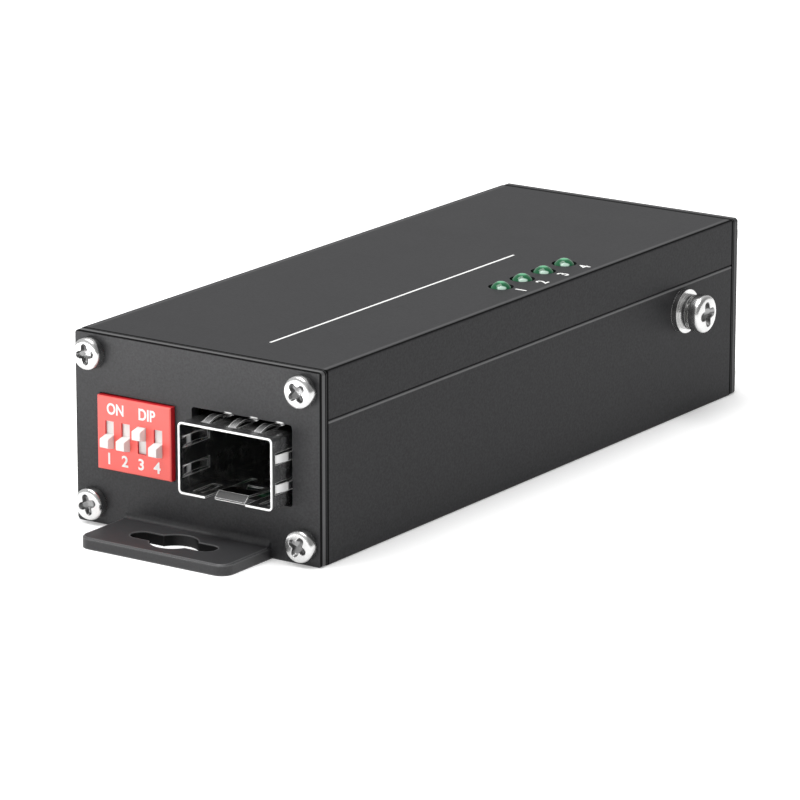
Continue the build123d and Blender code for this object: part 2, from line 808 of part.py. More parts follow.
# LED: a flanged epoxy body with a domed top, the dome in steps of latitude
led_spring = led_height - led_radius
with BuildPart() as led_form:
    with BuildSketch(Plane.XY):
        RegularPolygon(led_flange_radius, round_sides)
    extrude(amount=led_flange_height)
    with BuildSketch(Plane.XY):
        RegularPolygon(led_radius, round_sides)
    extrude(amount=led_spring)
    for low, high in led_dome_steps:
        low_level = led_spring + led_radius * sin(radians(low))
        high_level = led_spring + led_radius * sin(radians(high))
        with BuildSketch(Plane.XY.offset(low_level)):
            RegularPolygon(led_radius * cos(radians(low)), round_sides)
        extrude(amount=high_level - low_level, taper=(low + high) / 2)

for number, row in enumerate(led_rows, start=1):
    with BuildPart() as led:
        with Locations((led_x, row, led_bottom)):
            add(led_form.part)
    keep(led, f"led_{number}")

with BuildPart() as led_leads:
    with BuildSketch(Plane.XY.offset(tail_level)):
        with Locations(*led_lead_places):
            Rectangle(led_lead, led_lead)
    extrude(amount=led_bottom - tail_level)
keep(led_leads, "led_leads")

# Spacer bar that carries the four LEDs above the board
with BuildPart() as led_spacer:
    with BuildSketch(Plane.XY.offset(board_top)) as spacer_outline:
        with Locations((led_x, led_middle_y)):
            Rectangle(2 * led_flange_radius, led_last_y - led_first_y + 2 * led_flange_radius)
        chamfer(spacer_outline.vertices(), spacer_corner)
        with Locations(*led_lead_places):
            Rectangle(spacer_bore, spacer_bore, mode=Mode.SUBTRACT)
    extrude(amount=led_bottom - board_top)
keep(led_spacer, "led_spacer")

# Network port: folded shield, moulded insert and eight contact wires
shield_tab = spring_finger(shield_tab_width, shield_tab_length, shield_tab_rise, port_gauge)
with BuildPart() as port_shield:
    with BuildSketch(Plane.XZ.offset(-port_front)):
        with Locations((port_x, port_z)):
            Rectangle(port_width, port_height)
    extrude(amount=port_depth)
    with BuildSketch(Plane.XZ.offset(-insert_front)):
        with Locations((port_x, board_top)):
            Rectangle(insert_width, insert_height, align=(Align.CENTER, Align.MIN))
    extrude(amount=insert_front - insert_back, mode=Mode.SUBTRACT)
    with BuildSketch(Plane.XZ.offset(-port_front)):
        with Locations((port_x, port_z)):
            Rectangle(port_width - 2 * port_lip, port_height - 2 * port_lip)
    extrude(amount=2 * port_gauge, mode=Mode.SUBTRACT)
    for side in (-1, 1):
        with BuildSketch(Plane.YZ.offset(port_x + side * port_width / 2)):
            with Locations((port_front - shield_tab_start, port_z)):
                Rectangle(
                    shield_tab_length + shield_tab_gap,
                    shield_tab_width + 2 * shield_tab_gap,
                    align=(Align.MAX, Align.CENTER),
                )
        extrude(amount=-side * port_gauge, mode=Mode.SUBTRACT)
        root = (port_x + side * port_width / 2, port_front - shield_tab_start, port_z)
        with Locations(Plane(root, x_dir=(0, 0, side), z_dir=(side, 0, 0))):
            add(shield_tab)
keep(port_shield, "port_shield")

with BuildPart() as port_insert:
    with BuildSketch(Plane.XZ.offset(-insert_front)):
        with Locations((port_x, board_top)):
            Rectangle(insert_width, insert_height, align=(Align.CENTER, Align.MIN))
    extrude(amount=insert_front - insert_back)
    with BuildSketch(Plane.XZ.offset(-insert_front)):
        with Locations((port_x, board_top + plug_lift)):
            Rectangle(plug_width, plug_height, align=(Align.CENTER, Align.MIN))
            Rectangle(latch_width, 2 * latch_height, align=(Align.CENTER, Align.CENTER))
        with Locations((port_x, board_top + plug_lift - latch_height)):
            Rectangle(latch_key_width, 2 * latch_key_height, align=(Align.CENTER, Align.CENTER))
    extrude(amount=plug_depth, mode=Mode.SUBTRACT)
keep(port_insert, "port_insert")

with BuildPart() as port_contacts:
    for index in range(port_ways):
        column = port_x + (index - (port_ways - 1) / 2) * port_pitch
        with BuildSketch(Plane.YZ.offset(column)):
            with BuildLine():
                Polyline(
                    (insert_front - port_contact_start, plug_top),
                    (insert_front - port_contact_end, plug_top - port_contact_drop),
                    (insert_front - port_contact_end, plug_top - port_contact_drop - port_contact_gauge),
                    (insert_front - port_contact_start - port_contact_gauge, plug_top - port_contact_gauge),
                    (insert_front - port_contact_start + port_contact_gauge, plug_top),
                    close=True,
                )
            make_face()
        extrude(amount=port_contact_width / 2, both=True)
keep(port_contacts, "port_contacts")

# Supply header: an open shroud with coding grooves, and three square pins
with BuildPart() as power_header:
    with BuildSketch(Plane.XZ.offset(-power_front)):
        with Locations((power_x, board_top)):
            Rectangle(power_width, power_height, align=(Align.CENTER, Align.MIN))
    extrude(amount=power_depth)
    with BuildSketch(Plane.XZ.offset(-power_front)):
        with Locations((power_x, board_top + power_height / 2)):
            Rectangle(power_width - 2 * power_wall, power_height - 2 * power_wall)
        with Locations(*[(column, board_top + power_height - power_wall) for column in power_columns]):
            Rectangle(power_key_width, power_key_width)
    extrude(amount=power_depth - power_floor, mode=Mode.SUBTRACT)
    with BuildSketch(Plane.XZ.offset(-power_front)):
        with Locations(*[(column, board_top + power_pin_lift) for column in power_columns]):
            Rectangle(power_pin, power_pin)
    extrude(amount=power_depth, mode=Mode.SUBTRACT)
keep(power_header, "power_header")

with BuildPart() as power_pins:
    for place_x, place_y in power_pin_places:
        with BuildSketch(Plane.YZ.offset(place_x - power_pin / 2)):
            with BuildLine():
                Polyline(
                    (power_back + power_floor + power_pin_reach, power_pin_z + power_pin / 2),
                    (place_y - power_pin / 2, power_pin_z + power_pin / 2),
                    (place_y - power_pin / 2, tail_level),
                    (place_y + power_pin / 2, tail_level),
                    (place_y + power_pin / 2, power_pin_z - power_pin / 2),
                    (power_back + power_floor + power_pin_reach, power_pin_z - power_pin / 2),
                    close=True,
                )
            make_face()
        extrude(amount=power_pin)
keep(power_pins, "power_pins")

# Parts on the board
with BuildPart() as switch_chip:
    with BuildSketch(Plane.XY.offset(board_top)):
        with Locations((chip_x, chip_y)):
            Rectangle(chip_size, chip_size)
    extrude(amount=chip_height)
    chamfer(switch_chip.faces().sort_by(Axis.Z)[-1].edges(), chip_bevel)
keep(switch_chip, "switch_chip")

with BuildPart() as line_transformer:
    with BuildSketch(Plane.XY.offset(board_top + chip_standoff)):
        with Locations((port_x, transformer_y)):
            Rectangle(transformer_width, transformer_depth)
    extrude(amount=transformer_height)
    chamfer(line_transformer.faces().sort_by(Axis.Z)[-1].edges(), 2 * chip_bevel)
keep(line_transformer, "line_transformer")

with BuildPart() as regulator_chip:
    with BuildSketch(Plane.XY.offset(board_top + chip_standoff)):
        with Locations((regulator_x, regulator_y)):
            Rectangle(regulator_width, regulator_length)
    extrude(amount=regulator_height)
    chamfer(regulator_chip.faces().sort_by(Axis.Z)[-1].edges(), chip_bevel)
keep(regulator_chip, "regulator_chip")


def gull_lead(width, reach, level, gauge):
    """A gull-wing lead: it leaves a package's side at the origin along +X and steps down to the board."""
    with BuildPart() as lead:
        with BuildSketch(Plane.XZ):
            with BuildLine():
                Polyline(
                    (0, level),
                    (reach / 2 - gauge, level),
                    (reach / 2 - gauge, 0),
                    (reach, 0),
                    (reach, gauge),
                    (reach / 2, gauge),
                    (reach / 2, level + gauge),
                    (0, level + gauge),
                    close=True,
                )
            make_face()
        extrude(amount=width / 2, both=True)
    return lead.part


transformer_lead = gull_lead(lead_width, transformer_lead_reach, lead_level, lead_gauge)
with BuildPart() as transformer_leads:
    for side in (-1, 1):
        for index in range(transformer_lead_count):
            column = port_x + (index - (transformer_lead_count - 1) / 2) * lead_pitch
            root = (column, transformer_y + side * transformer_depth / 2, board_top)
            with Locations(Plane(root, x_dir=(0, side, 0), z_dir=(0, 0, 1))):
                add(transformer_lead)
keep(transformer_leads, "transformer_leads")

regulator_lead = gull_lead(lead_width, regulator_lead_reach, lead_level, lead_gauge)
with BuildPart() as regulator_leads:
    for side in (-1, 1):
        for index in range(regulator_lead_count):
            row = regulator_y + (index - (regulator_lead_count - 1) / 2) * lead_pitch
            root = (regulator_x + side * regulator_width / 2, row, board_top)
            with Locations(Plane(root, x_dir=(side, 0, 0), z_dir=(0, 0, 1))):
                add(regulator_lead)
keep(regulator_leads, "regulator_leads")

with BuildPart() as crystal_can:
    with BuildSketch(Plane.XY.offset(board_top)):
        with Locations((chip_x, crystal_y)):
            Rectangle(crystal_length, crystal_width)
    extrude(amount=crystal_rim_height)
    with BuildSketch(Plane.XY.offset(board_top + crystal_rim_height)):
        with Locations((chip_x, crystal_y)):
            Rectangle(crystal_length - 2 * crystal_rim, crystal_width - 2 * crystal_rim)
    extrude(amount=crystal_height - crystal_rim_height)
keep(crystal_can, "crystal_can")

with BuildPart() as power_inductor:
    with BuildSketch(Plane.XY.offset(board_top)) as inductor_outline:
        with Locations((supply_x, inductor_y)):
            Rectangle(inductor_size, inductor_size)
        chamfer(inductor_outline.vertices(), inductor_corner)
    extrude(amount=inductor_height)
keep(power_inductor, "power_inductor")

with BuildPart() as capacitor_seats:
    with BuildSketch(Plane.XY.offset(board_top)) as seat_outline:
        with Locations(*capacitor_places):
            Rectangle(capacitor_seat, capacitor_seat)
        chamfer(seat_outline.vertices(), capacitor_bead)
    extrude(amount=capacitor_seat_height)
keep(capacitor_seats, "capacitor_seats")

with BuildPart() as capacitor_form:
    with BuildSketch(Plane.XZ):
        with BuildLine():
            Polyline(
                (0, 0),
                (capacitor_radius, 0),
                (capacitor_radius, capacitor_height - capacitor_bead / 2),
                (capacitor_radius - capacitor_bead / 2, capacitor_height),
                (0, capacitor_height),
                close=True,
            )
        make_face()
    revolve(axis=Axis.Z)

with BuildPart() as bulk_capacitors:
    for place_x, place_y in capacitor_places:
        with Locations((place_x, place_y, board_top + capacitor_seat_height)):
            add(capacitor_form.part)
keep(bulk_capacitors, "bulk_capacitors")
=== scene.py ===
# %% [markdown]
# # A fibre media converter, dressed in Blender
#
# The solids of this small black metal box come from a CAD model and arrive in metres, in their real
# places. This lesson gives each of them a finish, models the small round pieces that the CAD leaves plain
# (screws and LEDs), prints the generic lettering, and sets up a white studio with the photograph's camera.

from math import copysign, cos, radians, sin

import bmesh
import bpy
from mathutils import Matrix, Vector


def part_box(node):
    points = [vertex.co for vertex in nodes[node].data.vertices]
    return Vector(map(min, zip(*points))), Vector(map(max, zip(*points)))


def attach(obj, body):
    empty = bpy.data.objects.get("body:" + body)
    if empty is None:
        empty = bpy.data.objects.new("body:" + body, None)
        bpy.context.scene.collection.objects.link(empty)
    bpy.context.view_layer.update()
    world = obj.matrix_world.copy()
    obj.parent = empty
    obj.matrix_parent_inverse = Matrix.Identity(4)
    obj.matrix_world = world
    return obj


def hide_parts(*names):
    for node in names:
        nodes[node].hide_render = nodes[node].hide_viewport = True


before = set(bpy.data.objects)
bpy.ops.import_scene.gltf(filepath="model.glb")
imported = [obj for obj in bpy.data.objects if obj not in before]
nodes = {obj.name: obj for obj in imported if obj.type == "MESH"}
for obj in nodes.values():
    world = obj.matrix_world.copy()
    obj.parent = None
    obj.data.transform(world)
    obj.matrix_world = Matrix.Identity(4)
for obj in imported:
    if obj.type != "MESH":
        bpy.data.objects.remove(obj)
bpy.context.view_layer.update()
MM = 0.001

# %% [markdown]
# ## The camera
#
# A product photograph like this is taken with a long lens from well back, which keeps the box's edges
# nearly parallel. The camera could be placed by eye, but here its direction, distance and lens were worked
# out from the places of the box's own corners, so a render can be laid over the photograph. It is
# described the way a photographer would: which way round, how high, how far, and where it points.

# %% Camera
camera_turn = radians(34.402)
camera_rise = radians(15.387)
camera_distance = 691.4 * MM
camera_aim = Vector((-3.295, 0.03, 6.85)) * MM
camera_lens = 233.79
towards_camera = Vector(
    (sin(camera_turn) * cos(camera_rise), -cos(camera_turn) * cos(camera_rise), sin(camera_rise))
)

camera = bpy.data.objects.new("camera", bpy.data.cameras.new("camera"))
camera.location = camera_aim + camera_distance * towards_camera
camera.rotation_euler = towards_camera.to_track_quat("Z", "Y").to_euler()
camera.data.lens = camera_lens
camera.data.sensor_width = 36
camera.data.clip_start = 0.05
bpy.context.scene.collection.objects.link(camera)
bpy.context.scene.camera = camera
print("camera at", [round(1000 * part) for part in camera.location], "mm")

# %% [markdown]
# ## Writing shaders as sums
#
# A finish is a small network of nodes, and wiring it by hand takes many lines. Most of it is arithmetic,
# so a socket is wrapped in a class whose + - * / add the Math nodes, and 1 - mask reads as it is meant.
# Every other node comes from one method that takes its type, its settings and the values of its sockets.

# %% Shader helpers
class Wire:
    """An output socket that can be used in arithmetic."""

    def __init__(self, network, socket):
        self.network = network
        self.socket = socket

    def maths(self, operation, first, second=0.0, clamp=False):
        settings = {"operation": operation, "use_clamp": clamp}
        return self.network.add("ShaderNodeMath", settings, {0: first, 1: second})

    def __add__(self, other):
        return self.maths("ADD", self, other)

    def __radd__(self, other):
        return self.maths("ADD", other, self)

    def __sub__(self, other):
        return self.maths("SUBTRACT", self, other)

    def __rsub__(self, other):
        return self.maths("SUBTRACT", other, self)

    def __mul__(self, other):
        return self.maths("MULTIPLY", self, other)

    def __rmul__(self, other):
        return self.maths("MULTIPLY", other, self)

    def __truediv__(self, other):
        return self.maths("DIVIDE", self, other)

    def above(self, level, softness):
        """0 below a level and 1 above it, with a soft step as wide as asked."""
        return self.maths("DIVIDE", self - (level - softness / 2), softness, clamp=True)

    def below(self, level, softness):
        return 1 - self.above(level, softness)

    def near(self, level, reach):
        """1 at a level, down to 0 at a distance of `reach` from it."""
        return (self - level).size().below(0.75 * reach, reach / 2)

    def larger(self, other):
        return self.maths("MAXIMUM", self, other)

    def smaller(self, other):
        return self.maths("MINIMUM", self, other)

    def size(self):
        return self.maths("ABSOLUTE", self)


# A Mix node gives its number, vector and colour sockets the same names, so the colour ones are called by
# their numbers
mix_factor, mix_first, mix_second, mix_result = 0, 6, 7, 2


class Network:
    """A node tree under construction."""

    def __init__(self, tree):
        self.tree = tree

    def add(self, kind, settings, sockets, output=0):
        """Add a node: its settings first, then a value or a link for each of its sockets."""
        node = self.tree.nodes.new(kind)
        for setting, value in settings.items():
            setattr(node, setting, value)
        for socket, value in sockets.items():
            if isinstance(value, Wire):
                self.tree.links.new(value.socket, node.inputs[socket])
            else:
                node.inputs[socket].default_value = value
        return Wire(self, node.outputs[output])

    def part(self, vector, axis):
        """The X, Y or Z of a vector."""
        return self.add("ShaderNodeSeparateXYZ", {}, {0: vector}, axis)


class Finish(Network):
    """A material under construction, on its object's own coordinates."""

    def __init__(self, name):
        self.material = bpy.data.materials.new(name)
        self.material.use_nodes = True
        super().__init__(self.material.node_tree)
        self.shader = self.tree.nodes["Principled BSDF"]
        self.place = self.add("ShaderNodeTexCoord", {}, {}, "Object")

    def along(self, axis):
        """The object's own X, Y or Z, in millimetres."""
        return self.part(self.place, axis) / MM

    def grain(self, size, detail=2.0, stretch=(1, 1, 1)):
        """Noise between 0 and 1 whose spots are about `size` millimetres wide."""
        stretched = self.add("ShaderNodeMapping", {}, {"Vector": self.place, "Scale": stretch})
        sockets = {"Vector": stretched, "Scale": 1 / (size * MM), "Detail": detail}
        return self.add("ShaderNodeTexNoise", {}, sockets)

    def sharp_edges(self, radius, reach=0.25):
        """1 on sharp edges, found by how far a rounded normal leans away from the flat one."""
        rounded = self.add("ShaderNodeBevel", {"samples": 6}, {"Radius": radius * MM})
        flat = self.add("ShaderNodeNewGeometry", {}, {}, "Normal")
        sockets = {0: rounded, 1: flat}
        upright = self.add("ShaderNodeVectorMath", {"operation": "DOT_PRODUCT"}, sockets, "Value")
        return (1 - upright).above(reach / 2, reach)

    def openness(self, reach):
        """1 in the open and less in corners and gaps narrower than `reach` millimetres."""
        return self.add("ShaderNodeAmbientOcclusion", {"samples": 6}, {"Distance": reach * MM}, "AO")

    def blend(self, factor, first, second):
        """A colour between two, which are given as (red, green, blue) or as wires."""
        first, second = (colour if isinstance(colour, Wire) else (*colour, 1) for colour in (first, second))
        sockets = {mix_factor: factor, mix_first: first, mix_second: second}
        return self.add("ShaderNodeMix", {"data_type": "RGBA"}, sockets, mix_result)

    def set(self, **looks):
        """Set the shader's sockets, named in small letters with underscores."""
        for name, value in looks.items():
            socket = self.shader.inputs[name.replace("_", " ").title().replace("Ior", "IOR")]
            if isinstance(value, Wire):
                self.tree.links.new(value.socket, socket)
            elif isinstance(value, tuple):
                socket.default_value = (*value, 1)
            else:
                socket.default_value = value

    def blacken(self, mask):
        """Let a black that mirrors nothing take over where the mask is 1, for painted shade and black
        joints.
        """
        looks = {"Base Color": (0.004, 0.004, 0.004, 1), "Roughness": 1.0, "Specular IOR Level": 0.0}
        shade_black = self.add("ShaderNodeBsdfPrincipled", {}, looks)
        unshaded = Wire(self, self.shader.outputs[0])
        mixed = self.add("ShaderNodeMixShader", {}, {0: mask, 1: unshaded, 2: shade_black})
        self.tree.links.new(mixed.socket, self.tree.nodes["Material Output"].inputs["Surface"])

    def rough_up(self, height, depth):
        """Raise the surface by a height pattern that is `depth` millimetres deep."""
        bump = self.add("ShaderNodeBump", {}, {"Height": height, "Distance": depth * MM, "Strength": 1.0})
        self.tree.links.new(bump.socket, self.shader.inputs["Normal"])


def wear(finish, *names):
    """Give CAD solids a finish."""
    for name in names:
        mesh = nodes[name].data
        mesh.materials.clear()
        mesh.materials.append(finish.material)


print("shader helpers ready")

# %% [markdown]
# ## The studio
#
# The object stands on a white sweep under soft light that comes from everywhere. Black paint shows little
# of its own colour: what is seen on it is mostly the room. So the room is white all round, dimmer than the
# floor, and dimmer still on the right, where the photographer took light away. The floor lies under a wide
# overhead softbox and burns out to pure white. A pool of extra light on the floor in front of the box is
# mirrored in the upper part of its front, which gives that face its gradient. The camera sees the room at
# full white, while the light that it sheds is set apart, with a Light Path node.

# %% Room
room_light = 0.74
right_dimming = 0.42

world = bpy.data.worlds.new("white_room")
bpy.context.scene.world = world
world.use_nodes = True
room = Network(world.node_tree)
direction = room.add("ShaderNodeTexCoord", {}, {}, "Generated")
seen = room.add("ShaderNodeLightPath", {}, {}, "Is Camera Ray")
shed = room_light - right_dimming * room.part(direction, "X").above(0.35, 0.7)
backdrop = room.tree.nodes["Background"]
backdrop.inputs["Color"].default_value = (1, 1, 1, 1)
room.tree.links.new((seen + (1 - seen) * shed).socket, backdrop.inputs["Strength"])
print("room at", room_light)

# %% Lamps
def lamp(name, kind, place, aim, power, **settings):
    """A lamp of some kind at a place, turned towards a point."""
    light = bpy.data.lights.new(name, kind)
    light.energy = power
    for setting, value in settings.items():
        setattr(light, setting, value)
    holder = bpy.data.objects.new(name, light)
    holder.location = Vector(place)
    holder.rotation_euler = (Vector(place) - Vector(aim)).to_track_quat("Z", "Y").to_euler()
    bpy.context.scene.collection.objects.link(holder)


softbox_place = (-0.2, -0.3, 1.5)
softbox_power = 26
softbox_size = 1.2
lamp(
    "overhead_softbox",
    "AREA",
    softbox_place,
    (0, 0, 0),
    softbox_power,
    shape="SQUARE",
    size=softbox_size,
)

pool_place = (-90 * MM, -200 * MM)
pool_lamp_height = 0.8
pool_power = 140
pool_angle = radians(17)
lamp(
    "floor_pool",
    "SPOT",
    (*pool_place, pool_lamp_height),
    (*pool_place, 0),
    pool_power,
    spot_size=pool_angle,
    spot_blend=0.8,
    shadow_soft_size=0.03,
)
bpy.context.scene.view_settings.view_transform = "Standard"

# %% [markdown]
# ## The white floor
#
# A sweep of matt paper has hardly any texture at this distance. A very faint mottle keeps it from being a
# computer's perfect white where the shadow falls. The paper is lit a little from behind, as a table of
# white acrylic is, which keeps the shadow under the box pale and soft.

# %% Floor
floor_size = 6.0
floor_glow = 0.25

paper = Finish("floor_paper")
paper.set(
    base_color=paper.blend(paper.grain(40), (0.86, 0.86, 0.86), (0.9, 0.9, 0.9)),
    roughness=0.9,
    specular_ior_level=0.1,
    emission_color=(1, 1, 1),
    emission_strength=floor_glow,
)
floor_form = bmesh.new()
bmesh.ops.create_grid(floor_form, x_segments=1, y_segments=1, size=floor_size / 2)
floor_mesh = bpy.data.meshes.new("floor")
floor_form.to_mesh(floor_mesh)
floor_form.free()
floor_mesh.materials.append(paper.material)
floor = bpy.data.objects.new("floor", floor_mesh)
bpy.context.scene.collection.objects.link(floor)
print("floor", floor_size, "m")

# %% [markdown]
# ## Black case and end plates
#
# The two shells are aluminium channels with a fine, matt black coat, and the plates at the ends are sheet
# with the same coat. Such paint isn't smooth: it is a field of grains a tenth of a millimetre wide, which
# breaks up the reflections and makes the black look grey in bright light. It could be done with a high
# roughness alone, but close up the grains are what tells paint from plastic, so there is a bump as well.
# Along an edge the shading of a rounded edge is painted: the edge itself is a dark line of painted shade,
# with a paler line of painted highlight beside it, and a painted highlight runs under the seam. The long
# edges and the rims of the plates lie at known places, so those lines are bands of distance from them, as
# are the joints, which are blackened. The black mask goes to a Mix Shader, because black paint is mostly
# reflection, and a darker base colour alone leaves that as bright as it was.
# The same black paints shade on the walls of the ears' slots. Small edges, such as those of the ears, are
# found by the bevel trick and get a painted highlight, and the ears are painted a little paler all over, as
# painted light. Three short painted highlights on the upper edge of the cut-out stand for glints where the
# cage's fingers touch it. The sizes below are in millimetres.

# %% Black coats
shell_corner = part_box("upper_shell")[1] / MM
screw_head_height = 1.45
plate_face = -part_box("front_screws")[0].y / MM - screw_head_height
seam_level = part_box("lower_shell")[1].z / MM
cage_low, cage_high = (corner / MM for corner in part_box("sfp_cage"))
cage_x = (cage_low.x + cage_high.x) / 2
cutout_reach = 7.5
plate_points = [point.co / MM for point in nodes["front_plate"].data.vertices]
cutout_top = max(point.z for point in plate_points if abs(point.x - cage_x) < cutout_reach)
# Spacing and middle of the three painted glints on the cut-out's upper edge.
glint_pitch = 3.95
middle_glint = cage_x + 1.9
slot_half_length = 8.6
slot_middle = 54.5
slot_reach = 4.4
slot_top = 1.35


def black_coat(name, grain_size, roughness, gloss):
    """Matt black paint with a fine grain and cloudy roughness; gives its distances from the edges too."""
    finish = Finish(name)
    grain = finish.grain(grain_size, detail=3)
    cloud = finish.grain(14)
    from_side = shell_corner.x - finish.along("X").size()
    from_top = shell_corner.z - finish.along("Z")
    from_joint = finish.along("Y").size() - shell_corner.y
    finish.set(roughness=roughness - 0.06 + 0.08 * cloud + 0.06 * grain, specular_ior_level=gloss)
    finish.rough_up(grain, 0.009)
    mottle = grain.above(0.5, 0.4) * 0.7 + cloud * 0.3
    finish.body = finish.blend(mottle, (0.012, 0.012, 0.013), (0.03, 0.03, 0.032))
    return finish, from_side, from_top, from_joint


highlight_grey = (0.12, 0.12, 0.122)
glint_white = (0.85, 0.85, 0.84)
shell_black, from_side, from_top, from_joint = black_coat("shell_black", 0.3, 0.5, 0.145)
# Painted highlight beside the long edges and on the bevel under the seam; painted shade on the edges
# themselves, and the joints blackened.
beside_edge = (from_side + 20 * from_top).near(0.75, 0.3) * 0.35
under_seam = shell_black.along("Z").near(seam_level - 0.25, 0.22) * from_side.below(0.1, 0.1)
painted_highlight = beside_edge.larger(under_seam)
shade_and_joint_line = (from_side + 2 * from_top).below(0.3, 0.12).larger(from_joint.above(-0.2, 0.08))
shell_black.set(base_color=shell_black.blend(painted_highlight, shell_black.body, highlight_grey))
shell_black.blacken(shade_and_joint_line * 0.9)
wear(shell_black, "lower_shell", "upper_shell")

plate_black, from_side, from_top, from_joint = black_coat("plate_black", 0.26, 0.4, 0.33)
from_face = (plate_face - shell_corner.y) - from_joint
rim = from_side.smaller(from_top).below(0.16, 0.08)
in_front = plate_black.along("Y").below(0, 1)
on_ear = from_joint.above(2.2, 0.3)
# Painted highlights on the ears' edges, over the whole ears and along the front plate's rim; painted shade
# along the rims, and the joint blackened.
ear_edge = plate_black.sharp_edges(0.35, reach=0.05) * on_ear
painted_highlight = (ear_edge * 0.9).larger(rim * from_face.near(0.62, 0.4) * 0.45) * in_front
painted_highlight = painted_highlight.larger(on_ear * 0.13)
shade_and_joint_line = from_face.below(0.3, 0.12).larger(from_face.near(1.1, 0.16))
shade_and_joint_line = rim * shade_and_joint_line.larger(from_joint.below(0.2, 0.1))
# Painted shade: the walls of the ears' slots are blackened.
slot_shade = plate_black.along("Z").below(slot_top, 0.1)
slot_shade = slot_shade * plate_black.along("X").size().below(slot_half_length, 0.2)
slot_shade = slot_shade * plate_black.along("Y").size().near(slot_middle, slot_reach)
# Three short painted highlights on the cut-out's upper edge, the glints where the cage's fingers touch it.
from_glint = (plate_black.along("X") - middle_glint).size()
finger_glints = from_glint.below(0.5, 0.3).larger(from_glint.near(glint_pitch, 0.65))
finger_glints = finger_glints * plate_black.along("Z").near(cutout_top, 0.22) * from_face.below(0.2, 0.1) * in_front
coat = plate_black.blend(painted_highlight, plate_black.body, highlight_grey)
plate_black.set(base_color=plate_black.blend(finger_glints, coat, glint_white))
plate_black.blacken(shade_and_joint_line.larger(slot_shade) * 0.9)
wear(plate_black, "front_plate", "rear_plate")
print("plate face at", round(plate_face, 2), "mm, top of the cut-out at", round(cutout_top, 2), "mm")

# %% [markdown]
# ## Nickel plate
#
# Screws and washers are bright nickel over steel. A polished metal is all reflection, so what matters is
# a roughness that isn't the same everywhere, with fine scratches. The gaps between washers get painted
# shade, where an Ambient Occlusion node finds them, and the bevel trick brightens the stamped edges: partly
# bare metal, partly a painted highlight.

# %% Nickel and tinned metals
def bright_metal(name, tint, roughness, scratch):
    """A plated metal with fine scratches, small differences in polish, painted shade in its gaps and bright
    edges, partly bare and partly a painted highlight.
    """
    finish = Finish(name)
    polish = finish.grain(1.4)
    scratches = finish.grain(0.12, detail=4, stretch=scratch)
    shade = tuple(0.75 * part for part in tint)
    # Painted shade: the base goes near black in gaps that an Ambient Occlusion node finds.
    unshaded = finish.openness(0.45).above(0.3, 0.5)
    # Edges are bare metal and get a painted highlight as well.
    bright_edge = finish.sharp_edges(0.12, reach=0.16)
    plated = finish.blend(unshaded, (0.03, 0.03, 0.03), finish.blend(polish, shade, tint))
    finish.set(
        base_color=finish.blend(bright_edge, plated, tuple(min(1.2 * part, 1) for part in tint)),
        metallic=1.0 - 0.5 * bright_edge,
        roughness=roughness - 0.05 + 0.08 * polish + 0.06 * scratches + 0.2 * bright_edge,
    )
    finish.rough_up(scratches, 0.0015)
    return finish


nickel = bright_metal("nickel", (0.74, 0.74, 0.735), 0.2, (1, 1, 4))
tin = bright_metal("tin", (0.78, 0.78, 0.77), 0.3, (1, 4, 1))
can_steel = bright_metal("can_steel", (0.72, 0.72, 0.72), 0.26, (4, 1, 1))
port_steel = bright_metal("port_steel", (0.7, 0.7, 0.7), 0.24, (1, 4, 1))
can_aluminium = bright_metal("can_aluminium", (0.8, 0.8, 0.81), 0.28, (1, 1, 5))
# A darker nickel: painted shade for the cross recesses of the screws.
recess_shade = bright_metal("recess_shade", (0.34, 0.34, 0.34), 0.26, (1, 1, 1))
gold = bright_metal("gold", (0.9, 0.66, 0.28), 0.22, (1, 3, 1))
wear(nickel, "ground_flat_washer", "ground_lock_washer")
wear(tin, "led_leads", "power_pins", "transformer_leads", "regulator_leads")
wear(can_steel, "crystal_can")
wear(port_steel, "port_shield")
wear(can_aluminium, "bulk_capacitors")
wear(gold, "sfp_contacts", "dip_pins", "port_contacts")
print("plated metals")

# %% [markdown]
# ## The cage's sheet
#
# The cage is stamped from thin, bright, plated spring sheet. It looks dark in the photograph because its
# flat walls mirror the black plate and the dark bay. A mirror-like metal gives that by itself. Its sheared
# edges are bare metal and also get a painted highlight, which keeps them bright from every side: the bevel
# trick finds them, and the front rim is painted bright all over. The side fingers get a painted highlight
# near their roots, where they lean towards the front, and painted shade beyond it, and the latch tongue gets
# painted shade.

# %% Cage sheet
cage_front = cage_low.y
cage_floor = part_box("main_board")[1].z / MM
cage_half_width = 7.2
finger_root = 2.9
tongue_height = 1.5
tongue_length = 4.5
tongue_half_width = 2.7

cage_steel = Finish("cage_steel")
stain = cage_steel.grain(2.2, detail=3)
scratches = cage_steel.grain(0.1, detail=4, stretch=(1, 5, 1))
from_middle = (cage_steel.along("X") - cage_x).size()
above_floor = cage_steel.along("Z") - cage_floor
behind = cage_steel.along("Y") - cage_front
# The side fingers beyond the walls: a painted highlight near their roots, painted shade beyond.
proud = (from_middle - cage_half_width).above(0.05, 0.06)
root_highlight = proud * behind.below(finger_root, 0.3)
tongue_shade = above_floor.below(tongue_height, 0.1) * behind.below(tongue_length, 0.4)
tongue_shade = tongue_shade * from_middle.below(tongue_half_width, 0.2)
# Bare sheared edges and the front rim, also painted bright as highlights, with the fingers' painted root
# highlight.
bare_and_highlit = cage_steel.sharp_edges(0.14, reach=0.16).larger(behind.below(0.1, 0.05)).larger(root_highlight)
plated = cage_steel.blend(stain, (0.5, 0.5, 0.5), (0.72, 0.72, 0.72))
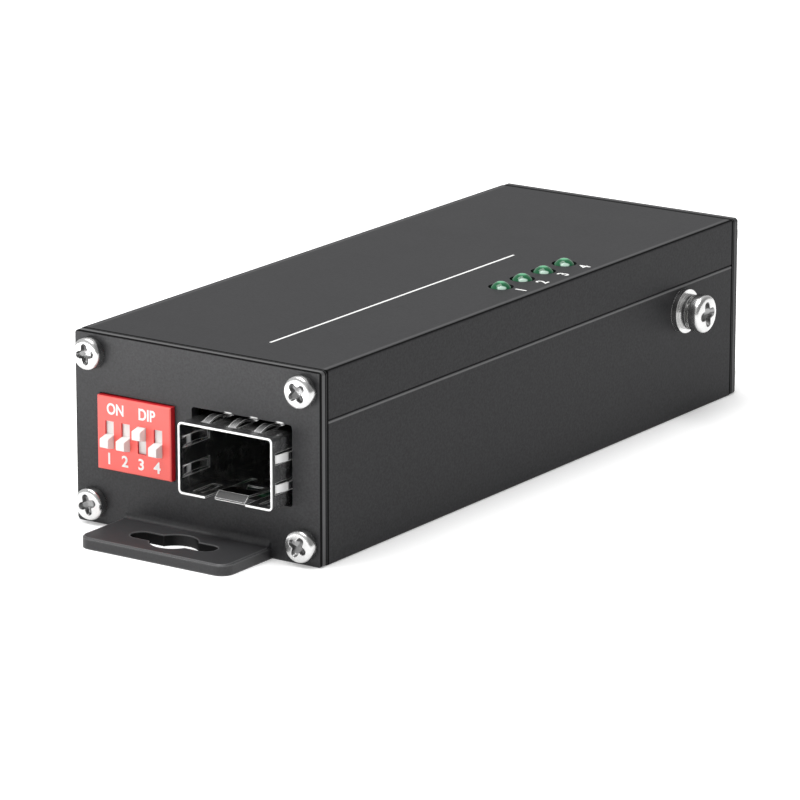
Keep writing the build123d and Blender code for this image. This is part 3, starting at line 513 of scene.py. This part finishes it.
# Painted shade on the latch tongue and on most of the side fingers.
plated = cage_steel.blend(tongue_shade.larger(proud * 0.7), plated, (0.06, 0.06, 0.06))
cage_steel.set(
    base_color=cage_steel.blend(bare_and_highlit, plated, (0.95, 0.95, 0.94)),
    metallic=1.0 - 0.5 * bare_and_highlit,
    roughness=0.16 + 0.12 * stain + 0.08 * scratches + 0.25 * bare_and_highlit,
)
cage_steel.rough_up(scratches, 0.001)
wear(cage_steel, "sfp_cage")
print("cage front at", round(cage_front, 2), "mm")

# %% [markdown]
# ## Moulded plastics
#
# The switch bank is glossy-satin red polyester, its sliders are white nylon, the connectors black or green
# nylon. Mouldings have a faint orange-peel skin, and their edges get a painted highlight. One function
# makes them all, so that they differ only in tint and shine. The side walls of the switch get painted shade,
# a deeper red than its face.

# %% Plastics
def moulded(name, tint, roughness, peel=0.5, highlight_gain=1.25, shaded_side_tint=None):
    """Moulded plastic with an orange-peel skin, a painted highlight on its edges, and maybe painted shade on
    its side walls.
    """
    finish = Finish(name)
    skin = finish.grain(peel)
    flow = finish.grain(5)
    # Painted highlight on the edges; the side walls, when a tint is given for them, get painted shade.
    edge = finish.sharp_edges(0.15)
    light = tuple(min(highlight_gain * part + 0.01, 1) for part in tint)
    dark = tuple(0.93 * part for part in tint)
    body = finish.blend(flow, dark, tint)
    if shaded_side_tint:
        facing = finish.part(finish.add("ShaderNodeNewGeometry", {}, {}, "True Normal"), "Y").size()
        body = finish.blend(facing.above(0.5, 0.2), shaded_side_tint, body)
    finish.set(
        base_color=finish.blend(edge * 0.7, body, light),
        roughness=roughness - 0.04 + 0.08 * skin,
    )
    finish.rough_up(skin, 0.003)
    return finish


# The switch's side walls get a deeper red as painted shade; the gains set each moulding's painted edge
# highlight.
face_red = (0.88, 0.125, 0.105)
shaded_side_red = (0.6, 0.012, 0.02)
switch_red = moulded("switch_red", face_red, 0.42, highlight_gain=1.2, shaded_side_tint=shaded_side_red)
slider_white = moulded("slider_white", (0.8, 0.8, 0.78), 0.5)
moulding_black = moulded("moulding_black", (0.014, 0.014, 0.015), 0.45, highlight_gain=2.5)
connector_black = moulded("connector_black", (0.016, 0.016, 0.017), 0.4, highlight_gain=25)
package_black = moulded("package_black", (0.022, 0.022, 0.023), 0.6, peel=0.15, highlight_gain=1.6)
header_green = moulded("header_green", (0.03, 0.3, 0.09), 0.4)
ferrite = moulded("ferrite", (0.07, 0.07, 0.075), 0.7, peel=0.12)
wear(switch_red, "dip_housing")
wear(slider_white, "dip_slider_1", "dip_slider_2", "dip_slider_3", "dip_slider_4")
wear(connector_black, "sfp_connector")
wear(moulding_black, "dip_base", "port_insert", "led_spacer", "capacitor_seats")
wear(package_black, "switch_chip", "line_transformer", "regulator_chip")
wear(header_green, "power_header")
wear(ferrite, "power_inductor")
print("plastics")

# %% [markdown]
# ## Circuit board
#
# The board is hidden unless someone looks in past the cage, where a little green shows. Green mask over
# glass cloth has a weave a half millimetre wide, and darker and lighter patches where copper lies under
# it. A Voronoi texture gives those patches straight-edged shapes.

# %% Board
board_green = Finish("board_green")
copper = board_green.add(
    "ShaderNodeTexVoronoi",
    {"distance": "CHEBYCHEV"},
    {"Vector": board_green.place, "Scale": 1 / (3 * MM)},
    "Color",
)
patches = board_green.add("ShaderNodeSeparateColor", {}, {0: copper}).above(0.5, 0.05)
weave = board_green.grain(0.5)
board_green.set(
    base_color=board_green.blend(patches, (0.008, 0.07, 0.028), (0.016, 0.12, 0.045)),
    roughness=0.3 + 0.15 * weave,
)
board_green.rough_up(weave + 0.5 * patches, 0.01)
wear(board_green, "main_board")
print("board")

# %% [markdown]
# ## Pan-head screws
#
# A pan head is a low dome with straight sides, and its cross recess has sloping arms that meet in a deep
# middle. It could be cut with a Boolean, but that leaves ragged triangles that shade badly. Here the top
# starts as a grid of five by five faces. Its lines are moved so that the middle cross is the recess and
# the rim is round, the cross is pushed down, and the rim is drawn out over the side and along the shank.
# A Subdivision Surface rounds it, and creases keep the edges that are sharp on the real one. The faces of
# the recess use the object's second material, which is darker: painted shade.

# %% Helpers for new pieces
def add_piece(form, name, finish, body):
    """Turn a bmesh into a finished object that rides on a body."""
    mesh = bpy.data.meshes.new(name)
    form.to_mesh(mesh)
    form.free()
    mesh.materials.append(finish.material)
    piece = bpy.data.objects.new(name, mesh)
    bpy.context.scene.collection.objects.link(piece)
    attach(piece, body)
    return piece


def smooth(piece, levels):
    """Finish a piece with a Subdivision Surface and smooth shading."""
    for face in piece.data.polygons:
        face.use_smooth = True
    rounding = piece.modifiers.new("rounding", "SUBSURF")
    rounding.levels = levels
    rounding.render_levels = levels


def seat(place, across, normal):
    """The matrix that puts a form's origin at a place, its X across and its Z along the normal."""
    across = Vector(across)
    normal = Vector(normal)
    turn = Matrix((across, normal.cross(across), normal)).transposed().to_4x4()
    return Matrix.Translation(place) @ turn


def repeat(form, seats):
    """Copy all that a bmesh holds to each seat and drop the original."""
    original = form.verts[:] + form.edges[:] + form.faces[:]
    for matrix in seats:
        copy = bmesh.ops.duplicate(form, geom=original)["geom"]
        verts = [part for part in copy if isinstance(part, bmesh.types.BMVert)]
        bmesh.ops.transform(form, matrix=matrix, verts=verts)
    original_verts = [part for part in original if isinstance(part, bmesh.types.BMVert)]
    bmesh.ops.delete(form, geom=original_verts, context="VERTS")


print("helpers for pieces")


# %% Screw form
def pan_screw(head_radius, head_height, shank_radius, shank_length, arm, thread=()):
    """A cross-recessed screw in a new bmesh, its head above the XY plane and its shank below."""
    form = bmesh.new()
    crease = form.edges.layers.float.new("crease_edge")
    grid = bmesh.ops.create_grid(form, x_segments=5, y_segments=5, size=2.5)["verts"]
    middle = [face for face in form.faces if min(abs(part) for part in face.calc_center_median().xy) < 0.1]
    cross = [face for face in middle if face.calc_center_median().length < 1.5]
    rim = [edge for edge in form.edges if edge.is_boundary]
    for edge in {edge for face in cross for edge in face.edges}:
        if sum(side in cross for side in edge.link_faces) == 1:
            edge[crease] = 1.0

    radii = {0: 0.33 * arm, 1: arm, 2: 0.87 * head_radius}
    falls = {0: 0.0, 1: 0.01, 2: 0.05}
    for vert in grid:
        column, row = (int(abs(part)) for part in vert.co.xy)
        ring = max(column, row)
        flat = Vector((radii[column], radii[row]))
        if ring == 1:
            flat = flat.normalized() * arm
        if ring == 2:
            step = radians(9 + 18 * min(column, row))
            flat = radii[2] * Vector((cos(step), sin(step)) if column == 2 else (sin(step), cos(step)))
        level = head_height * (1 - falls[ring])
        vert.co = (copysign(flat.x, vert.co.x), copysign(flat.y, vert.co.y), level)

    top = set(form.faces) - set(cross)
    sunk = bmesh.ops.extrude_face_region(form, geom=cross)["geom"]
    bmesh.ops.delete(form, geom=cross, context="FACES_ONLY")
    # The recess faces take the second material, which paints shade into them.
    for face in set(form.faces) - top:
        face.material_index = 1
    for part in sunk:
        if isinstance(part, bmesh.types.BMVert):
            end = part.co.xy.length > 0.8 * arm
            part.co.xy *= 0.8
            part.co.z -= head_height * (0.3 if end else 0.6)
        if isinstance(part, bmesh.types.BMEdge):
            part[crease] = 0.6

    sides = [
        (0.98 * head_radius, 0.8 * head_height, 0.0),
        (head_radius, 0.5 * head_height, 0.0),
        (head_radius, 0.0, 0.9),
        (shank_radius, 0.0, 0.9),
        *thread,
        (shank_radius, 0.8 * MM - shank_length, 0.6),
        (0.7 * shank_radius, -shank_length, 0.9),
    ]
    for radius, level, sharpness in sides:
        grown = bmesh.ops.extrude_edge_only(form, edges=rim)["geom"]
        verts = {part for part in grown if isinstance(part, bmesh.types.BMVert)}
        edges = [part for part in grown if isinstance(part, bmesh.types.BMEdge)]
        rim = [edge for edge in edges if verts.issuperset(edge.verts)]
        for vert in verts:
            vert.co = (*(vert.co.xy.normalized() * radius), level)
        for edge in rim:
            edge[crease] = sharpness
    bmesh.ops.contextual_create(form, geom=rim)
    bmesh.ops.recalc_face_normals(form, faces=form.faces)
    return form


print("screw function ready")

# %% [markdown]
# ## Seating the screws
#
# Each end plate is held by four small screws, set in from the corners by the same amount. No two are
# tightened to the same angle, which is why each has its own turn. The ground screw stands off the right
# wall on a flat and a split washer, with a little of its thread showing.

# %% Screws
shell_low, shell_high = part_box("upper_shell")
floor_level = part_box("lower_shell")[0].z
plate_gauge = 1.5 * MM
screw_inset = 2.65 * MM
head_radius = 2.15 * MM
head_height = screw_head_height * MM
shank_radius = 1.2 * MM
shank_length = 7.5 * MM
recess_arm = 1.5 * MM
front_turns = (18, 62, 8, 40)
rear_turns = (70, 25, 50, 5)
rounding_levels = 3
screw_x = shell_high.x - screw_inset
screw_levels = (floor_level + screw_inset, shell_high.z - screw_inset)
screw_corners = [(side * screw_x, level) for level in screw_levels for side in (-1, 1)]

for name, face, outward, turns in (
    ("front_screws", shell_low.y - plate_gauge, -1, front_turns),
    ("rear_screws", shell_high.y + plate_gauge, 1, rear_turns),
):
    seats = [
        seat((x, face, level), (cos(radians(turn)), 0, sin(radians(turn))), (0, outward, 0))
        for (x, level), turn in zip(screw_corners, turns)
    ]
    screws = pan_screw(head_radius, head_height, shank_radius, shank_length, recess_arm)
    repeat(screws, seats)
    piece = add_piece(screws, name + "_detailed", nickel, "case")
    piece.data.materials.append(recess_shade.material)
    smooth(piece, rounding_levels)
    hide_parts(name)

ground_low, ground_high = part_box("ground_screw")
ground_y = (ground_low.y + ground_high.y) / 2
ground_z = (ground_low.z + ground_high.z) / 2
ground_radius = 2.7 * MM
ground_head = 1.7 * MM
ground_shank_radius = 1.35 * MM
ground_shank_length = 6.4 * MM
ground_arm = 1.9 * MM
ground_turn = radians(8)
root = 1.25
crest = 1.48
thread = [
    (radius * MM, level * MM, 0.3)
    for turn in (-0.25, -0.75)
    for radius, level in ((root, turn + 0.12), (crest, turn), (crest, turn - 0.06), (root, turn - 0.2))
]
screws = pan_screw(
    ground_radius, ground_head, ground_shank_radius, ground_shank_length, ground_arm, thread
)
under_head = (ground_high.x - ground_head, ground_y, ground_z)
repeat(screws, [seat(under_head, (0, cos(ground_turn), sin(ground_turn)), (1, 0, 0))])
piece = add_piece(screws, "ground_screw_detailed", nickel, "case")
piece.data.materials.append(recess_shade.material)
smooth(piece, rounding_levels)
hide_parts("ground_screw")
print("screws at x", round(1000 * screw_x, 2), "and z", [round(1000 * level, 2) for level in screw_levels])

# %% [markdown]
# ## LEDs
#
# A 3 mm LED is cast in clear green epoxy: a flange, a short cylinder and half a sphere. The arc of the
# dome could be typed as points, but a spin draws it: one vertex spun a quarter turn is the arc, the arc
# and the side below it spun a full turn are the body. Clear epoxy is dark where it is looked into, and the
# crown gets a painted highlight. A pale spot half way up its front and its back is painted light, an image
# of the silvery cup inside as the dome magnifies it. Those two patterns belong to the body's own shape, so
# they are kept on it as attributes, worked out before the body is put in its place.

# %% LED finish
led_green = Finish("led_green")
led_low, led_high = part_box("led_1")
led_x = (led_low.x + led_high.x) / 2
led_radius = 1.5 * MM
led_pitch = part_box("led_2")[0].y - led_low.y
led_first_y = (led_low.y + led_high.y) / 2
crown = led_green.add("ShaderNodeAttribute", {"attribute_name": "crown"}, {}, "Fac")
cup_glint = led_green.add("ShaderNodeAttribute", {"attribute_name": "cup_glint"}, {}, "Fac")
# Painted highlight: the crown is paler, and a pale painted spot on the front and back stands for the cup
# inside as the dome shows it.
epoxy_and_crown_highlight = led_green.blend(crown.above(0.93, 0.08), (0.004, 0.1, 0.036), (0.1, 0.36, 0.19))
led_green.set(
    base_color=led_green.blend(cup_glint.above(0.4, 0.4), epoxy_and_crown_highlight, (0.5, 0.68, 0.58)),
    roughness=0.1 + 0.06 * led_green.grain(0.6),
    specular_ior_level=0.3,
    coat_weight=0.15,
)
print("LED pitch", round(1000 * led_pitch, 2), "mm")

# %% LED bodies
led_count = 4
glint_turn = radians(38)
glint_half_width = 0.52
glint_level = 0.56
glint_half_height = 0.2
arc_steps = 16
turn_steps = 56
led_height = 5.3 * MM
flange_radius = 1.9 * MM
flange_height = 1.0 * MM
led_bottom = led_low.z

for number in range(led_count):
    lens = bmesh.new()
    top = bmesh.ops.create_vert(lens, co=(0, 0, led_height))["vert"][0]
    centre = (0, 0, led_height - led_radius)
    bmesh.ops.spin(
        lens,
        geom=[top],
        cent=centre,
        axis=(0, 1, 0),
        angle=radians(90),
        steps=arc_steps,
        dvec=(0, 0, 0),
    )
    end = max(lens.verts, key=lambda vert: vert.co.x)
    corners = ((led_radius, flange_height), (flange_radius, flange_height), (flange_radius, 0), (0, 0))
    for x, z in corners:
        corner = bmesh.ops.create_vert(lens, co=(x, 0, z))["vert"][0]
        lens.edges.new((end, corner))
        end = corner
    bmesh.ops.spin(
        lens,
        geom=lens.verts[:] + lens.edges[:],
        cent=(0, 0, 0),
        axis=(0, 0, 1),
        angle=radians(360),
        steps=turn_steps,
        use_merge=True,
        dvec=(0, 0, 0),
    )
    bmesh.ops.remove_doubles(lens, verts=lens.verts, dist=0.001 * MM)
    bmesh.ops.recalc_face_normals(lens, faces=lens.faces)
    crown_layer = lens.verts.layers.float.new("crown")
    glint_layer = lens.verts.layers.float.new("cup_glint")
    # The crown's height and the painted spot of the cup, kept as attributes.
    for vert in lens.verts:
        out = (vert.co - Vector(centre)) / led_radius
        front = abs(out.x * sin(glint_turn) - out.y * cos(glint_turn))
        beside = out.x * cos(glint_turn) + out.y * sin(glint_turn)
        spot = 1 - (beside / glint_half_width) ** 2 - ((out.z - glint_level) / glint_half_height) ** 2
        vert[crown_layer] = out.z
        vert[glint_layer] = max(0, spot) if front > 0.3 else 0
    bmesh.ops.translate(lens, vec=(led_x, led_first_y + number * led_pitch, led_bottom), verts=lens.verts)
    for face in lens.faces:
        face.smooth = face.normal.z > -0.5
    piece = add_piece(lens, f"led_lens_{number + 1}", led_green, "case")
    piece.data.set_sharp_from_angle(angle=radians(40))
    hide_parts(f"led_{number + 1}")
print("four LEDs")

# %% [markdown]
# ## Printing
#
# White ink carries the words that any such switch has: ON, DIP and the numbers of its four ways. The LEDs
# are numbered too. Ink is a layer some hundredths of a millimetre thick, so the letters are text turned to
# mesh and laid just on the surface. The place is applied after the text is a mesh, so that the object
# itself stays at the origin. A thin rule runs along the top.

# %% Ink
ink = Finish("white_ink")
ink.set(
    base_color=ink.blend(ink.grain(0.3), (0.74, 0.74, 0.73), (0.86, 0.86, 0.85)),
    roughness=0.5 + 0.1 * ink.grain(0.1),
)
ink_thickness = 0.02 * MM


def print_words(name, words, height, place, across, normal, finish, weight=0.0, stretch=1.0):
    """Print words with their middle at a place, their capitals as tall as `height`."""
    curve = bpy.data.curves.new(name, "FONT")
    curve.body = words
    curve.align_x = "CENTER"
    curve.align_y = "CENTER"
    curve.offset = weight
    curve.extrude = 0.01
    holder = bpy.data.objects.new(name, curve)
    bpy.context.scene.collection.objects.link(holder)
    bpy.context.view_layer.update()
    mesh = bpy.data.meshes.new_from_object(holder.evaluated_get(bpy.context.evaluated_depsgraph_get()))
    bpy.data.objects.remove(holder)
    form = bmesh.new()
    form.from_mesh(mesh)
    bmesh.ops.remove_doubles(form, verts=form.verts, dist=0.0001)
    low = Vector(min(vert.co[axis] for vert in form.verts) for axis in range(3))
    high = Vector(max(vert.co[axis] for vert in form.verts) for axis in range(3))
    bmesh.ops.translate(form, vec=-(low + high) / 2, verts=form.verts)
    size = high - low
    scale = height / size.y
    bmesh.ops.scale(form, vec=(stretch * scale, scale, ink_thickness / size.z), verts=form.verts)
    bmesh.ops.recalc_face_normals(form, faces=form.faces)
    bmesh.ops.transform(form, matrix=seat(place, across, normal), verts=form.verts)
    return add_piece(form, name, finish, "case")


switch_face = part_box("dip_housing")[0].y
letter_height = 1.5 * MM
switch_print = (
    ("print_on", "ON", -12.1, 15.7, 0.86),
    ("print_dip", "DIP", -7.1, 15.7, 0.86),
    ("print_way_1", "1", -13.15, 9.15, 1.0),
    ("print_way_2", "2", -10.65, 9.15, 1.05),
    ("print_way_3", "3", -8.1, 9.15, 1.05),
    ("print_way_4", "4", -5.6, 9.15, 1.05),
)
for name, words, x, z, stretch in switch_print:
    place = Vector((x * MM, switch_face, z * MM))
    print_words(name, words, letter_height, place, (1, 0, 0), (0, -1, 0), ink, 0.025, stretch)

number_x = led_x + 3.1 * MM
number_height = 1.7 * MM
for number in range(led_count):
    name = f"print_led_{number + 1}"
    place = Vector((number_x, led_first_y + number * led_pitch, shell_high.z))
    print_words(name, str(number + 1), number_height, place, (0, 1, 0), (0, 0, 1), ink, 0.02)

# %% Rule along the top
rule_x = 5.3 * MM
rule_start = -41.2 * MM
rule_end = 14.4 * MM
rule_width = 0.36 * MM

rule = bmesh.new()
bmesh.ops.create_cube(rule, size=1)
bmesh.ops.scale(rule, vec=(rule_width, rule_end - rule_start, ink_thickness), verts=rule.verts)
bmesh.ops.translate(rule, vec=(rule_x, (rule_start + rule_end) / 2, shell_high.z), verts=rule.verts)
add_piece(rule, "print_rule", ink, "case")
print("printing done")
